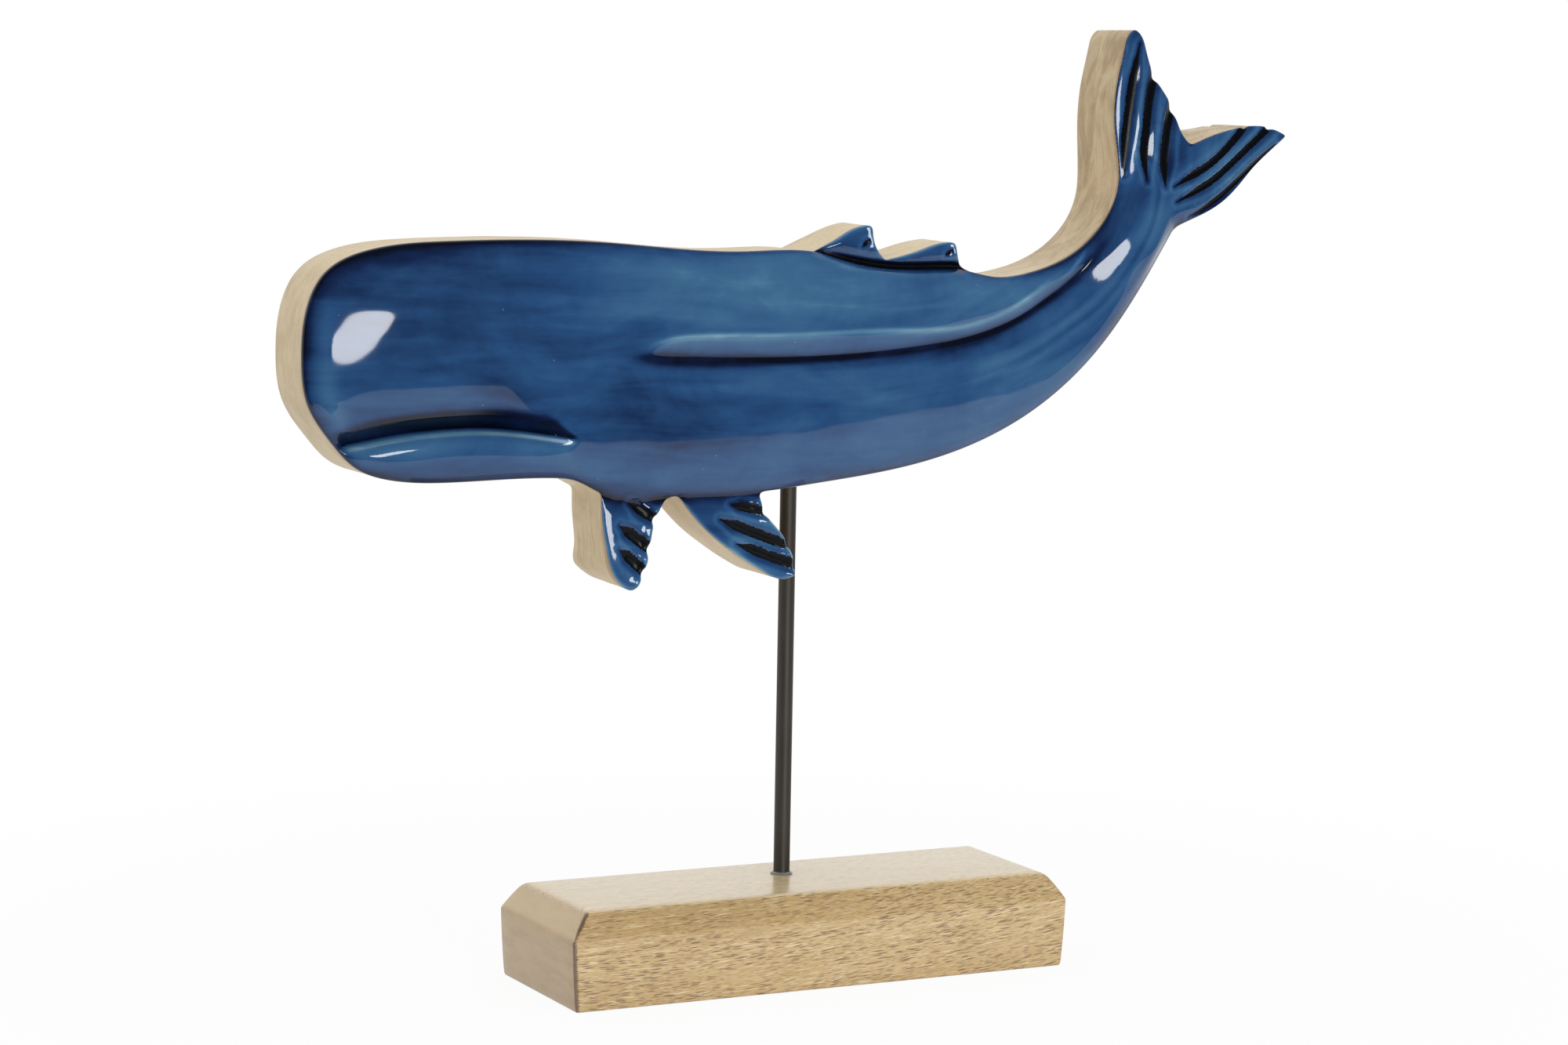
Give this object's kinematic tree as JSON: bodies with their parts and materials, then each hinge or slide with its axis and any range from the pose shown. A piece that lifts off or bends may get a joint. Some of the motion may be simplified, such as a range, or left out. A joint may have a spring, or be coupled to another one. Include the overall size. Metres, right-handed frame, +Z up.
{
  "type": "whale figurine",
  "caption": "Whale cut from a thick wooden board, its carved front coated in glossy blue enamel with black lines on the fins, held by a slim steel rod above a chamfered block.",
  "frame": {"origin": "centre of the block's underside, on the surface the figurine stands on", "axes": "+Z up along the rod, +X towards the whale's tail along the block's length, +Y towards the plain back, so the enamelled front faces -Y"},
  "size_m": [0.396, 0.066, 0.3468],
  "materials": {
    "block_wood": "satin lacquer",
    "whale_wood": "sanded",
    "rod_steel": "raw rolled",
    "clear_bead": "clear gloss",
    "blue_enamel": "glossy enamel",
    "black_enamel": "glossy enamel"
  },
  "bodies": {
    "stand": {"base_block": "block_wood", "support_rod": "rod_steel", "rod_foot_bead": "clear_bead"},
    "whale": {"whale_body": "whale_wood", "blue_enamel": "blue_enamel", "fluke_lines": "black_enamel", "pectoral_fin_lines": "black_enamel", "dorsal_line": "black_enamel"}
  },
  "joints": [
    {"name": "whale_swivel", "type": "hinge", "parent": "stand", "child": "whale", "pos_m": [0.0008, 0.006, 0.1806], "axis": [0, 0, 1], "continuous": true}
  ]
}
